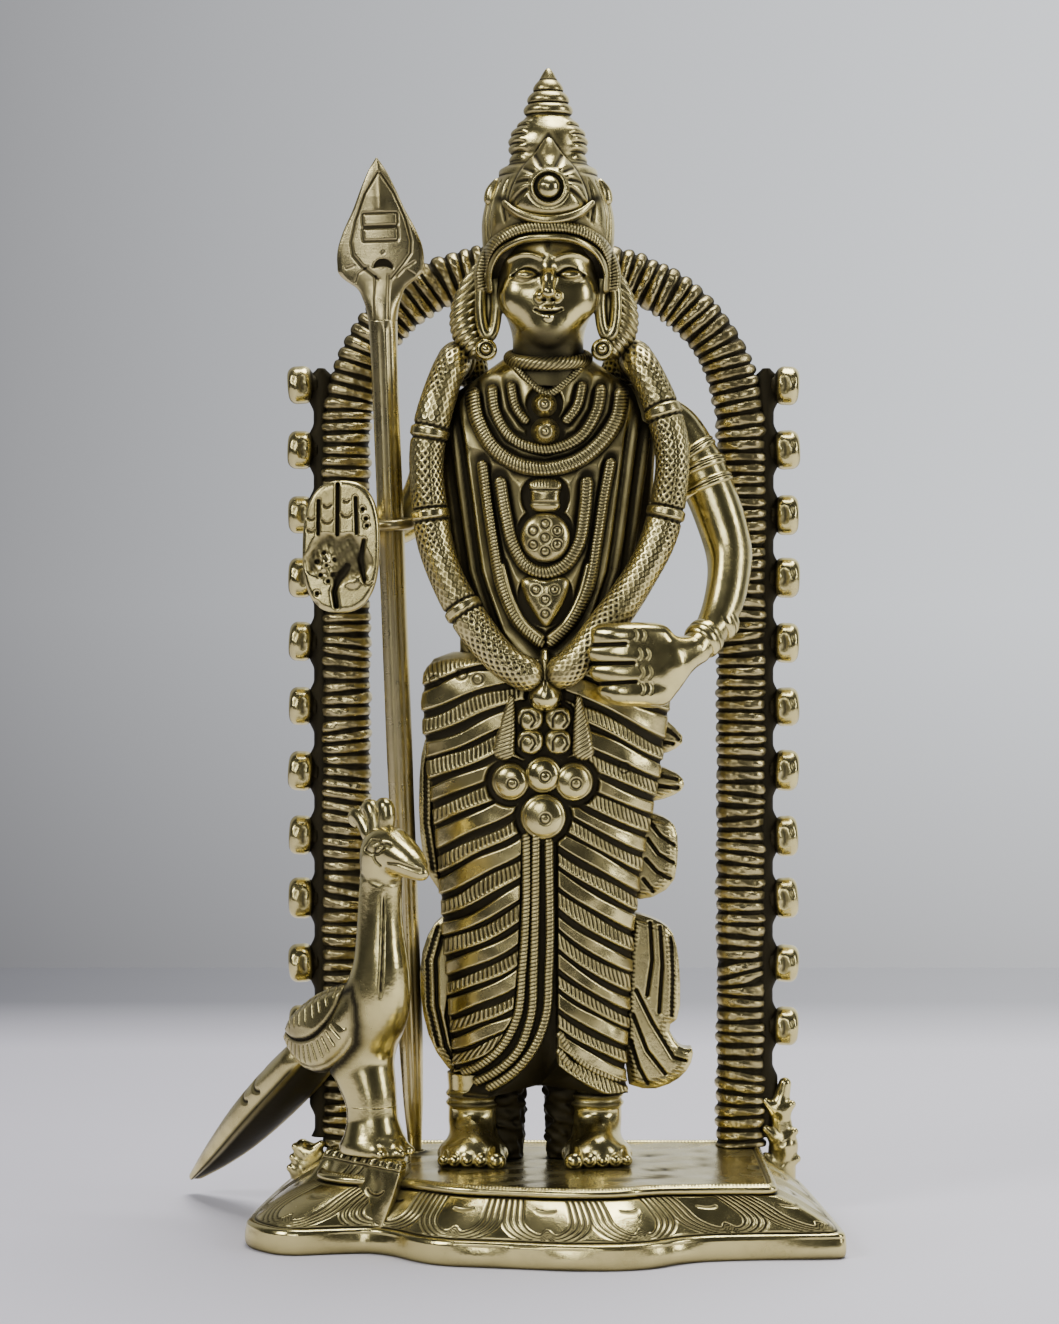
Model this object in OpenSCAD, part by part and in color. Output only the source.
/* [Base] */
// Height of the plinth slab
plinth_h = 5; // [4:0.5:6]
// Height of the deck above the table
deck_h = 13.5; // [12:0.5:15]
// Wall thickness of the hollow base casting
base_wall = 3; // [2.5:0.25:3.5]
// Height of the lip round the deck
lip_h = 1.3; // [1:0.1:2]
// Height of the bird's stand above the table
stand_h = 17.2; // [16:0.2:19]

/* [Arch] */
// Distance from the middle to the centre line of each arch leg
arch_half_w = 40; // [38:0.5:42]
// Height above the table at which the legs start to bend
arch_spring_z = 153; // [145:1:160]
// Rise of the bend from there to the crown of its centre line
arch_rise = 38.5; // [34:0.5:42]
// Width of the arch bar, seen from the front
arch_bar_w = 9.6; // [8.5:0.1:10.5]
// Thickness of the arch bar from front to back
arch_bar_t = 7; // [6.5:0.1:7.5]
// Distance of the arch behind the middle of the base
arch_y = 16; // [15.5:0.1:16.5]
// Knobs on each leg
knob_count = 11; // [8:1:11]
// Distance between neighbouring knobs
knob_pitch = 12.95; // [11:0.05:13.2]
// Height of the highest knob
knob_top_z = 167.3; // [160:0.1:168]

/* [Figure] */
// Half width of the robe at the hips
hip_half_w = 24.6; // [23:0.1:25.5]
// Half width of the robe at the hem
hem_half_w = 16.8; // [16:0.1:18]
// Half width of the chest at the shoulders
shoulder_half_w = 19.5; // [18.5:0.1:20]
// Half width of the head
head_half_w = 10.8; // [10:0.1:11.2]
// Largest radius of the crown
crown_r = 13; // [12.2:0.1:13.4]
// Thickness radius of the garland rope
garland_r = 4.1; // [3.6:0.1:4.3]

/* [Spear] */
// Radius of the spear shaft under the blade
shaft_top_r = 2.65; // [2.3:0.05:2.7]
// Radius of the pin on the spear's foot
shaft_pin_r = 1.2; // [1:0.05:1.3]
// Length of that pin, which stands in the deck
shaft_pin_len = 4.5; // [4:0.1:4.8]
// Radial gap round the pin in its socket
socket_gap = 0.3; // [0.2:0.05:0.35]
// Half width of the blade
blade_half_w = 8.5; // [7.5:0.1:9]
// Thickness of the blade
blade_t = 2.6; // [2:0.1:3]

/* [Fasteners] */
// Radius of a screw's shank
screw_r = 1.5; // [1.4:0.05:1.5]
// Radial gap round the shank in a threaded hole
thread_gap = 0.05; // [0.02:0.01:0.08]
// Depth of a threaded hole
thread_depth = 6; // [5:0.5:7]
// Height of a hexagon screw head
screw_head_h = 2; // [1.8:0.1:2.2]
// Thickness of a washer
washer_t = 0.6; // [0.5:0.1:0.8]

/* [Hidden] */

// Colours of new brass, of cast brass and of steel
brass = [0.78, 0.69, 0.42];
dark_brass = [0.62, 0.54, 0.32];
steel = [0.62, 0.63, 0.65];

// Outline of the plinth, anticlockwise from its right front corner
plinth_line = [[57, -30], [57, -26], [53, 26], [52, 28.5], [49, 28.5],
    [-49, 28.5], [-52, 28.5], [-53, 26], [-57.5, -12], [-57.5, -20], [-50, -28.5],
    [-40, -26], [-31, -25], [-22, -36.5], [-10, -38.5], [6, -42], [19, -41],
    [27, -33.5], [40, -31.5], [54, -31]];
// Outline of the deck, point for point with the plinth's
deck_line = [[43.5, -28], [43.8, -25], [43.5, 19], [43, 21], [41, 21],
    [-41, 21], [-43, 21], [-43.5, 19], [-44, -10], [-43, -15], [-38, -19],
    [-31, -20], [-26, -22], [-17, -29], [-8, -31], [4, -33.5], [14, -33],
    [20, -29.5], [30, -28.5], [41, -28.5]];
round_steps = 2;
plinth_inset = 0.965;
plinth_edge = 0.8;
// Outlines of the hollow at its knee and at its ceiling
hollow_foot = [[53, -26], [53, -23], [49.5, 22.5], [48.5, 24.5], [46, 24.5],
    [-46, 24.5], [-48.5, 24.5], [-49.3, 22.5], [-53, -12], [-53, -17.5], [-48.5, -23.5],
    [-40, -21.8], [-29, -20.6], [-20, -31.8], [-10, -34.3], [5, -37.6], [17.5, -36.8],
    [25.5, -29.3], [39, -27.3], [50, -27]];
hollow_top = [[41.5, -24.5], [41.5, -22.5], [41.3, 17], [41, 18.4], [39.5, 18.5],
    [-39.5, 18.5], [-41, 18.4], [-41.3, 17], [-42, -9], [-41, -13], [-36.5, -16.6],
    [-30, -17.6], [-25, -19.4], [-16, -26], [-8, -28], [4, -30.3], [13, -29.8],
    [19, -26.5], [29, -25.4], [39, -25.2]];
hollow_knee_z = 2.3;
below = 1;

// The bird's stand: corners of its foot, its waist and its top
stand_foot = [[-54, -11], [-31, -26], [-24, -14], [-44, 4]];
stand_waist = [[-46, -9.5], [-28.5, -26.2], [-25.5, -13.5], [-38, 2]];
stand_top = [[-42.4, -8.3], [-27.1, -26], [-26, -13], [-36, 1]];

// Screws from below: two in the feet, two in the arch and one in the bird
foot_x = [-14, 10.4];
foot_y = 1.5;
foot_screws = [for (x = foot_x) [x, foot_y]];
arch_screws = [for (side = [-1, 1]) [side * (arch_half_w - 1), arch_y]];
bird_at = [-33, -12];
spotface_r = 4.6;
hole_r = 1.75;
washer_r = 3.4;
screw_head_af_r = 3.1;

// The bird looks towards the front right
bird_turn = -50;

// The spear stands in the deck and leans forward and to the left
spear_foot = [-25.8, 9, deck_h];
spear_lean = [3.8, -2, 0];
point_len = 25;
shaft_len = 166;
ring_up = 126;
ring_r = 4.1;
ring_wire_r = 1.1;
socket_boss_r = 4;
socket_boss_h = 3;

// Figure levels above the deck
hem_z = 13.5;
waist_z = 99.5;
neck_z = 158.5;
brow_z = 180.5;
figure_y = 1.5;
head_y = -0.8;
// Rows of height, half width, half depth and sideways shift
robe_rows = [[hem_z, hem_half_w, 8, -0.7], [31.5, 17.8, 8.6, -1], [46.5, 18.8, 9.2, -1.2],
    [61.5, 20.3, 9.6, -0.6], [76.5, 22.8, 10.1, 0], [90.5, hip_half_w, 10.3, 0.3],
    [96.5, 24, 10.2, 0.6], [waist_z, 22.5, 10, 0.6]];
torso_rows = [[waist_z, 17, 9.5, 0], [106.5, 15.5, 9, 0], [121.5, 16, 8.8, 0],
    [136.5, 18, 9, 0.3], [147.5, shoulder_half_w, 8.5, 0.5], [152.5, 17, 7.5, 0.6],
    [156, 10.5, 6, 0.6], [neck_z, 6, 5.5, 0.6]];
head_rows = [[neck_z, 5.5, 5, 0.6], [163, 6.6, 7.4, 0.7], [168, 9.4, 9.6, 0.8],
    [174, head_half_w, 10.6, 0.8], [brow_z, head_half_w + 0.2, 11, 0.8]];
// Rows of height, half length, half width and shift along the foot
foot_rows = [[0, 6, 9.6, -0.5], [3.5, 6.2, 9.4, -0.5], [7, 5, 6.8, 1.2], [hem_z, 4.4, 4.8, 2.4]];
crown_rows = [[0, 0], [crown_r - 0.6, 0], [crown_r, 4], [crown_r, 10], [11.4, 13], [9, 16],
    [7.2, 17.6], [7.5, 21], [6.8, 24.4], [4.6, 26], [5, 27], [3.4, 29], [3.7, 30],
    [2.2, 32], [0.7, 34.6], [0, 34.8]];

// Bead routes, each point with its radius
garland_left = [[-12, 7.5, 154.5], [-16.5, 5, 157.6], [-18, -1, 157], [-20.8, -5, 149.5],
    [-22.9, -6, 139], [-22.5, -6.5, 130.2], [-21.1, -7, 121.4], [-17.8, -8.5, 112.6],
    [-12.9, -10, 104.8], [-7.6, -10.6, 98.9], [-1.2, -10.8, 94.8]];
garland_right = [[12, 7.5, 154.5], [17.5, 5, 157.6], [18.8, -1, 157], [22.4, -5, 149.5],
    [24.8, -6, 141], [24.2, -6.5, 130.2], [22.1, -7, 122.4], [16.8, -8.5, 112.6],
    [11, -10, 104.8], [6, -10.6, 98.9], [1.6, -10.8, 94.8]];
left_arm_route = [[17, 3, 148, 5.2], [25, 4.5, 145, 5], [30.3, 3.6, 137.5, 4.9],
    [34, 2.4, 129, 4.7], [36.4, 0.5, 120, 4.3], [35.6, -2.5, 112, 3.8],
    [32.4, -6, 104.6, 3.2], [28.8, -9.6, 100.8, 3]];
right_arm_route = [[-16, 3, 147, 5], [-21, 5.6, 138, 4.6], [-24.5, 7.7, 130, 4.1],
    [-28, 8.3, 126, 3.7], [-36.5, 8.3, 125.5, 3.5], [-39, 4.3, 125.3, 3.5],
    [-39.2, -2, 125, 3.4], [-39.2, -11.5, 124, 3.3]];
palm_at = [-39.1, -12, 121.1];
palm_half = [7.4, 12.7];
palm_t = 4;
hair_route = [[12.2, 2, 173.5, 2.4], [14, 1.4, 170, 3], [15, 0.6, 166.5, 3.2],
    [14.4, -0.6, 163, 2.9], [12.6, -2, 160.4, 2.5]];
ear_ring_at = [11.3, -4, 159.6];
ear_ring_r = 2.1;
ear_ring_t = 2.5;
drape_y = 4.5;
drape_left_routes = [[[-18.4, 86, 3], [-20.4, 79, 3.8], [-20.8, 70, 3.8], [-20.2, 61, 4],
    [-19.2, 53, 3]], [[-17.3, 49, 3.4], [-19.2, 42, 4.5], [-19, 33, 4.9],
    [-18, 24, 4.4], [-16, 18, 2.6]]];
drape_right_routes = [[[19, 84, 3], [24.6, 83.4, 1.2]], [[20, 76, 3], [24.6, 75.6, 1.4]],
    [[19, 68, 3.4], [22, 66, 4], [21.6, 57, 4.4], [18.6, 52, 3]],
    [[17.6, 48, 3.6], [21.6, 44, 4.6], [20.6, 33, 5], [20, 24, 4.6],
    [26.2, 20, 2.4], [28.2, 23.6, 0.9]]];
// Bird routes in its own axes: forward, to its left, up
bird_body_route = [[-17, 0, 36, 4.2], [-11, 0, 38.5, 7.4], [-3, 0, 41.5, 7.8], [1.4, 0, 48, 6],
    [2.2, 0, 56, 4.8], [1.8, 0, 64, 4.4], [2.4, 0, 71, 4.5], [4, 0, 76, 5]];
bird_beak_route = [[6, 0, 75.6, 4], [10.5, 0, 74.6, 2.4], [16, 0, 73, 0.8]];
bird_leg_route = [[-4, 0, 36, 5], [-1, 0, 27, 3.4]];
bird_ankle_z = 26;
bird_feet_rows = [[stand_h, 7.4, 4.8, 0], [19.2, 6.6, 4.4, 0], [22.4, 4.3, 3.6, 0],
    [bird_ankle_z, 3.9, 3.5, -0.4]];
wing_route = [[0, 6.2, 45.5, 2.2], [-5, 7, 43.6, 3.4], [-11, 6.8, 40.6, 3.6],
    [-17, 5.2, 37.4, 2.6], [-22, 3.4, 34.6, 1.2]];
tail_route = [[-17, 0, 36, 4.8], [-25, 0, 29.5, 5.4], [-33, 0, 23.4, 5.4], [-41, 0, 17.4, 4.9],
    [-48, 0, 12.2, 4], [-55, 0, 7.4, 2.7], [-62, 0, 3.2, 1]];
crest_petals = [[5.2, 28], [3.6, 8], [1.8, -14], [0, -36]];
crest_base_z = 79.2;
crest_len = 4.6;

// Buttons on the robe's front: sideways, up, radius
pendant_beads = [[0.2, 92, 3], [-2.4, 87.7, 2.8], [2.8, 87.7, 2.8], [-2.4, 83.2, 2.8],
    [2.8, 83.2, 2.8], [-6.6, 75.4, 3.9], [-0.2, 76.8, 4.2], [5.8, 75.4, 3.9], [-0.2, 68.6, 4.6]];

// Values at height z, read between the rows of a table
function level(rows, z, k) = lookup(z, [for (r = rows) [r[0], r[k]]]);
// The front surface of a body at sideways x and height z
function front(rows, x, z) = figure_y - level(rows, z, 2)
    * sqrt(max(0.05, 1 - pow((x - level(rows, z, 3)) / level(rows, z, 1), 2)));
// Corner cutting, which turns an outline with corners into a rounded one
function cut(p) = [for (i = [0:len(p) - 1]) let (a = p[i], b = p[(i + 1) % len(p)])
    each [a * 0.75 + b * 0.25, a * 0.25 + b * 0.75]];
function rounded(p, n) = n <= 0 ? p : rounded(cut(p), n - 1);
function at_z(p, z, share = 1) = [for (q = p) [q[0] * share, q[1] * share, z]];
function oval(x, y, z, a, b, n) = [for (i = [0:n - 1]) let (t = 360 * i / n)
    [x + a * cos(t), y + b * sin(t), z]];
function unit(v) = v / norm(v);
// A ring of points round centre c, square to direction t
function hoop(c, t, a, b, n) = let (u = unit(cross([0, 1, 0], t)), w = cross(t, u))
    [for (i = [0:n - 1]) let (s = 360 * i / n) c + a * cos(s) * u + b * sin(s) * w];
// The arch's centre line: up one leg, over a superellipse and down the other leg
arch_power = 2.4;
arch_steps = 28;
leg_steps = 3;
function bend(s) = let (c = cos(s), k = sin(s)) [-arch_half_w * sign(c) * pow(abs(c), 2 / arch_power),
    arch_y, arch_spring_z + arch_rise * pow(abs(k), 2 / arch_power)];
arch_path = concat(
    [for (i = [0:leg_steps - 1]) [-arch_half_w, arch_y, deck_h + (arch_spring_z - deck_h) * i / leg_steps]],
    [for (i = [0:arch_steps]) bend(180 * i / arch_steps)],
    [for (i = [leg_steps - 1:-1:0]) [arch_half_w, arch_y, deck_h + (arch_spring_z - deck_h) * i / leg_steps]]);
function along(p, i) = (i == 0 || i == len(p) - 1) ? [0, 0, i == 0 ? 1 : -1]
    : unit(unit(p[i + 1] - p[i]) + unit(p[i] - p[i - 1]));

// Skins a list of rings that have the same number of points
module loft(rings) {
    n = len(rings[0]);
    m = len(rings);
    sides = [for (k = [0:m - 2], i = [0:n - 1]) let (j = (i + 1) % n, a = k * n, b = a + n)
        each [[a + i, b + i, b + j], [a + i, b + j, a + j]]];
    polyhedron(points = [for (r = rings) each r],
        faces = concat([[for (i = [0:n - 1]) i]], sides, [[for (i = [n - 1:-1:0]) (m - 1) * n + i]]),
        convexity = 6);
}
module stack(rows, y, n = 28)
    loft([for (r = rows) oval(r[3], y, r[0], r[1], r[2], n)]);
// A chain of round beads, each pair blended into one
module chain(route, sides = 12)
    for (i = [0:len(route) - 2])
        hull() {
            bead(route[i], sides);
            bead(route[i + 1], sides);
        }
module bead(p, sides) translate([p[0], p[1], p[2]]) sphere(r = p[3], $fn = sides);
module on_deck() translate([0, 0, deck_h]) children();
module mirrored() {
    children();
    mirror([1, 0, 0]) children();
}
module bird_frame() translate([bird_at[0], bird_at[1], 0]) rotate([0, 0, bird_turn]) children();
module spear_frame() translate(spear_foot) rotate(spear_lean) children();

// Base: its outside from the table up, and the hollow under the deck from its ceiling down
base_outside = [at_z(rounded(plinth_line, round_steps), 0),
    at_z(rounded(plinth_line, round_steps), plinth_h - plinth_edge),
    at_z(rounded(plinth_line, round_steps), plinth_h, plinth_inset),
    at_z(rounded(deck_line, round_steps), deck_h - lip_h),
    at_z(rounded(deck_line, round_steps), deck_h)];
base_inside = [at_z(rounded(hollow_top, round_steps), deck_h - base_wall),
    at_z(rounded(hollow_foot, round_steps), hollow_knee_z),
    at_z(rounded(hollow_foot, round_steps), 0)];
module base_solid() loft(base_outside);
module base_shell() color(brass) difference() {
    union() {
        loft(concat(base_inside, base_outside));
        translate([spear_foot[0], spear_foot[1], deck_h - base_wall - socket_boss_h])
            cylinder(r = socket_boss_r, h = socket_boss_h + base_wall / 2, $fn = 32);
    }
    for (p = concat(foot_screws, arch_screws, [bird_at]))
        translate([p[0], p[1], 0]) {
            cylinder(r = spotface_r, h = deck_h - base_wall, $fn = 32);
            cylinder(r = hole_r, h = deck_h + below, $fn = 32);
        }
    spear_frame() translate([0, 0, -shaft_pin_len - 0.2])
        cylinder(r = shaft_pin_r + socket_gap, h = shaft_pin_len + 2, $fn = 32);
}
module peacock_stand() color(brass) difference() {
    loft([at_z(stand_foot, plinth_h - 0.1), at_z(stand_waist, 12), at_z(stand_top, stand_h)]);
    base_solid();
    translate([bird_at[0], bird_at[1], 0]) cylinder(r = hole_r, h = stand_h + below, $fn = 32);
}

// Arch
module arch() color(dark_brass) difference() {
    loft([for (i = [0:len(arch_path) - 1])
        hoop(arch_path[i], along(arch_path, i), arch_bar_w / 2, arch_bar_t / 2, 14)]);
    for (p = arch_screws) translate([p[0], p[1], deck_h - below])
        cylinder(r = screw_r + thread_gap, h = thread_depth + below, $fn = 32);
}
// A knob: neck, round body and flat face, pointing out along +X
module knob() rotate([0, 90, 0]) rotate_extrude($fn = 32)
    polygon([[0, -1.2], [1.9, -1.2], [1.9, 2.2], [3.1, 2.8], [3.6, 4.2], [3.5, 6.4], [2.8, 7.2], [0, 7.2]]);
module knob_row(count) difference() {
    for (i = [0:count - 1])
        translate([arch_half_w + arch_bar_w / 2 - 0.2, arch_y, knob_top_z - i * knob_pitch]) knob();
    arch_side();
}
// The space of a leg and its bend, squared off to the knobs' side
module arch_side() translate([arch_half_w - arch_bar_w / 2, arch_y - arch_bar_t, deck_h])
    cube([arch_bar_w + 0.05, 2 * arch_bar_t, arch_spring_z + arch_rise]);
module arch_knobs_right() color(brass) knob_row(knob_count);
module arch_knobs_left() color(brass) mirror([1, 0, 0]) knob_row(knob_count);
// A curled leaf at the foot of a leg, from its tip down to the plinth
module leaf(top_z) difference() {
    translate([0, arch_y + 3, 0]) rotate([90, 0, 0]) linear_extrude(6)
        polygon([[44, plinth_h], [52, plinth_h], [50.6, plinth_h + 5], [50.8, top_z - 2], [49, top_z],
            [47.6, top_z - 3], [46.4, plinth_h + 7], [44, plinth_h + 5]]);
    arch_side();
}
module arch_leaf_right() color(brass) difference() {
    leaf(27.5);
    base_solid();
}
module arch_leaf_left() color(brass) difference() {
    mirror([1, 0, 0]) leaf(15);
    base_solid();
}

// Figure
module feet() color(brass) on_deck() difference() {
    for (x = foot_x) translate([x, 0, 0])
        loft([for (r = foot_rows) oval(0, r[3], r[0], r[1], r[2], 20)]);
    for (p = foot_screws) translate([p[0], p[1], -below])
        cylinder(r = screw_r + thread_gap, h = thread_depth + below, $fn = 32);
}
module robe_solid() stack(robe_rows, figure_y);
module torso_solid() stack(torso_rows, figure_y);
module head_solid() stack(head_rows, head_y, 24);
module robe() color(brass) on_deck() robe_solid();
module torso() color(brass) on_deck() torso_solid();
module head() color(brass) on_deck() head_solid();
module crown() color(brass) on_deck() translate([0.8, head_y, brow_z]) rotate_extrude($fn = 48)
    polygon(crown_rows);
module garland_solid() {
    chain([for (p = garland_left) [p[0], p[1], p[2], garland_r]], 10);
    chain([for (p = garland_right) [p[0], p[1], p[2], garland_r]], 10);
}
module garland() color(dark_brass) on_deck() difference() {
    garland_solid();
    torso_solid();
    robe_solid();
    head_solid();
}
module hair_locks() color(dark_brass) on_deck() difference() {
    mirrored() chain(hair_route, 10);
    head_solid();
    torso_solid();
    garland_solid();
    translate([-25, ear_ring_at[1] - 20, neck_z - 10]) cube([50, 20, 40]);
}
module ear_rings() color(brass) on_deck() mirrored() translate(ear_ring_at) rotate([90, 0, 0])
    cylinder(r = ear_ring_r, h = ear_ring_t, $fn = 24);

// Ornaments on the chest: nested half rings and a long pointed cord
necklace_top = 155;
necklace_mid = 0.9;
function swag(half_w, drop, steps) = [for (i = [0:steps]) let (t = -78 + 156 * i / steps,
    x = necklace_mid + half_w * sin(t), z = necklace_top - drop * cos(t)) [x, front(torso_rows, x, z), z, 1.7]];
module necklace_solid() {
    chain(swag(14, 20, 10), 8);
    chain(swag(10, 14.5, 8), 8);
    chain(swag(6, 8.5, 6), 8);
}
module necklaces() color(brass) on_deck() difference() {
    necklace_solid();
    torso_solid();
    garland_solid();
    head_solid();
}
cord_left = [[-11.5, 150], [-9.5, 138], [-6.6, 126], [-3.6, 114], [0.2, 102.5]];
cord_right = [[12.5, 150], [10.2, 138], [7, 126], [4, 114], [0.2, 102.5]];
medal = [0.2, 123, 5.2];
module chest_pendant() color(brass) on_deck() difference() {
    union() {
        for (cord = [cord_left, cord_right])
            chain([for (p = cord) [p[0], front(torso_rows, p[0], p[1]), p[1], 1.6]], 8);
        hull() {
            button([medal[0], front(torso_rows, medal[0], medal[1]), medal[1], medal[2]], 24);
        }
    }
    torso_solid();
    necklace_solid();
    garland_solid();
}
// A round button facing the front, with a softened edge
module button(p, sides) translate([p[0], p[1] + 2, p[2]]) rotate([90, 0, 0]) {
    cylinder(r = p[3], h = 3.4, $fn = sides);
    cylinder(r = p[3] * 0.72, h = 4.2, $fn = sides);
}
module pendant_solid()
    for (p = pendant_beads)
        hull() button([p[0], front(robe_rows, p[0], p[1]), p[1], p[2]], 16);
module waist_pendant() color(brass) on_deck() difference() {
    pendant_solid();
    robe_solid();
    garland_solid();
}
sash_route = [[4.6, 92, 1.3], [6, 89, 1.5], [7.4, 86, 1.7], [8.6, 83, 1.9], [9.4, 80.5, 2]];
module sash_ends() color(brass) on_deck() difference() {
    mirrored() chain([for (p = sash_route) [p[0], front(robe_rows, p[0], p[1]) + 0.2, p[1], p[2]]], 10);
    robe_solid();
    garland_solid();
    pendant_solid();
}
// A hanging end of cloth beside the robe; a route's points are sideways, up, radius
module drape(routes) for (route = routes)
    chain([for (p = route) [p[0], drape_y, p[1], p[2]]], 10);
module side_drape_left() color(dark_brass) on_deck() difference() {
    drape(drape_left_routes);
    robe_solid();
}
module side_drape_right() color(dark_brass) on_deck() difference() {
    drape(drape_right_routes);
    robe_solid();
}

// Arms
module left_arm_solid() chain(left_arm_route, 14);
module left_arm() color(brass) on_deck() difference() {
    left_arm_solid();
    torso_solid();
    robe_solid();
    garland_solid();
}
finger_levels = [92.6, 96, 99.4, 102.8];
module left_hand_solid() {
    hull() {
        bead([27, -10.6, 100.5, 3.4], 12);
        bead([19.5, -14.6, 94.2, 2.6], 12);
        bead([19.5, -14.6, 101.6, 2.6], 12);
    }
    for (z = finger_levels) {
        hull() {
            bead([20, -15, z, 2], 10);
            bead([14.5, -15.9, z + 0.4, 1.9], 10);
        }
        hull() {
            bead([14.5, -15.9, z + 0.4, 1.9], 10);
            bead([10.2, -15.3, z + 0.6, 1.6], 10);
        }
    }
}
module left_hand() color(brass) on_deck() difference() {
    left_hand_solid();
    left_arm_solid();
    torso_solid();
    robe_solid();
    garland_solid();
}
// A band round the arm, a share of the way from one bead of its route to the next
module band(route, i, share, grow, w) {
    a = route[i];
    b = route[i + 1];
    p = a + (b - a) * share;
    d = unit([b[0] - a[0], b[1] - a[1], b[2] - a[2]]);
    translate([p[0], p[1], p[2]]) rotate([0, acos(d[2]), atan2(d[1], d[0])]) hull() {
        cylinder(r = p[3] + grow, h = w * 0.5, center = true, $fn = 18);
        cylinder(r = p[3] + grow - 0.4, h = w, center = true, $fn = 18);
    }
}
arm_band_places = [[1, 0.75], [2, 0.1], [2, 0.5]];
wrist_band_places = [[6, 0.1], [6, 0.6]];
module arm_bands() color(brass) on_deck() difference() {
    union() {
        for (p = arm_band_places) band(left_arm_route, p[0], p[1], 0.8, 2);
        for (p = wrist_band_places) band(left_arm_route, p[0], p[1], 0.8, 1.5);
    }
    left_arm_solid();
    left_hand_solid();
    garland_solid();
    robe_solid();
}
module spear_ring_solid(grow) spear_frame() translate([0, 0, ring_up]) rotate_extrude($fn = 48)
    translate([ring_r, 0]) circle(r = ring_wire_r + grow, $fn = 24);
module spear_ring() color(brass) spear_ring_solid(0);
module palm_slab(grow) translate(palm_at) rotate([90, 0, 0]) linear_extrude(palm_t)
    polygon([for (i = [0:35]) let (c = cos(10 * i), s = sin(10 * i))
        [sign(c) * pow(abs(c), 0.85) * (palm_half[0] + grow), sign(s) * pow(abs(s), 0.85) * (palm_half[1] + grow)]]);
module right_arm() color(brass) difference() {
    on_deck() difference() {
        chain(right_arm_route, 14);
        torso_solid();
        garland_solid();
        palm_slab(4);
    }
    spear_ring_solid(0.04);
}
module right_hand() color(brass) on_deck() palm_slab(0);

// Bird
module peacock_feet() color(brass) difference() {
    bird_frame() loft([for (r = bird_feet_rows) oval(r[3], 0, r[0], r[1], r[2], 24)]);
    translate([bird_at[0], bird_at[1], 0])
        cylinder(r = screw_r + thread_gap, h = stand_h + 5, $fn = 32);
}
module bird_solid() {
    chain(bird_body_route, 14);
    chain(bird_beak_route, 10);
    chain(bird_leg_route, 12);
}
module peacock_body() color(brass) bird_frame() difference() {
    bird_solid();
    translate([-20, -20, bird_ankle_z - 20]) cube([40, 40, 20]);
}
module wings_solid() for (side = [-1, 1]) chain([for (p = wing_route) [p[0], side * p[1], p[2], p[3]]], 12);
module peacock_wings() color(brass) bird_frame() difference() {
    wings_solid();
    bird_solid();
}
module peacock_tail() color(dark_brass) bird_frame() difference() {
    chain(tail_route, 12);
    bird_solid();
    wings_solid();
}
module peacock_crest() color(brass) bird_frame() difference() {
    for (petal = crest_petals) translate([petal[0], 0, crest_base_z]) rotate([0, petal[1], 0])
        chain([[0, 0, 0, 1], [0, 0, crest_len * 0.6, 0.8], [-0.7, 0, crest_len, 1.1]], 8);
    bird_solid();
}

// Spear
module spear_shaft() color(brass) spear_frame() {
    translate([0, 0, -shaft_pin_len]) cylinder(r = shaft_pin_r, h = shaft_pin_len, $fn = 32);
    cylinder(r1 = shaft_pin_r, r2 = shaft_top_r - 0.3, h = point_len, $fn = 32);
    translate([0, 0, point_len])
        cylinder(r1 = shaft_top_r - 0.3, r2 = shaft_top_r, h = shaft_len - point_len, $fn = 32);
}
blade_rows = [[0, 2.9], [2.5, 3.6], [5, 5.2], [9, 7.8], [13, blade_half_w], [18, 6.8], [24, 3.9], [31.5, 0.2]];
module spear_blade() color(brass) spear_frame()
    translate([0, blade_t / 2, shaft_len]) rotate([90, 0, 0]) linear_extrude(blade_t)
        polygon(concat([for (r = blade_rows) [r[1], r[0]]],
            [for (i = [len(blade_rows) - 1:-1:0]) [-blade_rows[i][1], blade_rows[i][0]]]));

// Fasteners
module mounting_screws() color(steel)
    for (p = concat(foot_screws, arch_screws, [bird_at]))
        translate([p[0], p[1], deck_h - base_wall - washer_t]) {
            mirror([0, 0, 1]) cylinder(r = screw_head_af_r, h = screw_head_h, $fn = 6);
            cylinder(r = screw_r, h = base_wall + washer_t + (p == bird_at ? stand_h - deck_h : 0)
                + thread_depth - 1.5, $fn = 24);
        }
module screw_washers() color(steel)
    for (p = concat(foot_screws, arch_screws, [bird_at]))
        translate([p[0], p[1], deck_h - base_wall - washer_t]) difference() {
            cylinder(r = washer_r, h = washer_t, $fn = 32);
            translate([0, 0, -below]) cylinder(r = screw_r + 0.1, h = washer_t + 2 * below, $fn = 32);
        }

base_shell();
peacock_stand();
arch();
arch_knobs_left();
arch_knobs_right();
arch_leaf_left();
arch_leaf_right();
feet();
robe();
torso();
head();
hair_locks();
ear_rings();
crown();
necklaces();
chest_pendant();
garland();
waist_pendant();
sash_ends();
side_drape_left();
side_drape_right();
left_arm();
left_hand();
arm_bands();
right_arm();
right_hand();
spear_ring();
peacock_feet();
peacock_body();
peacock_wings();
peacock_tail();
peacock_crest();
spear_shaft();
spear_blade();
mounting_screws();
screw_washers();
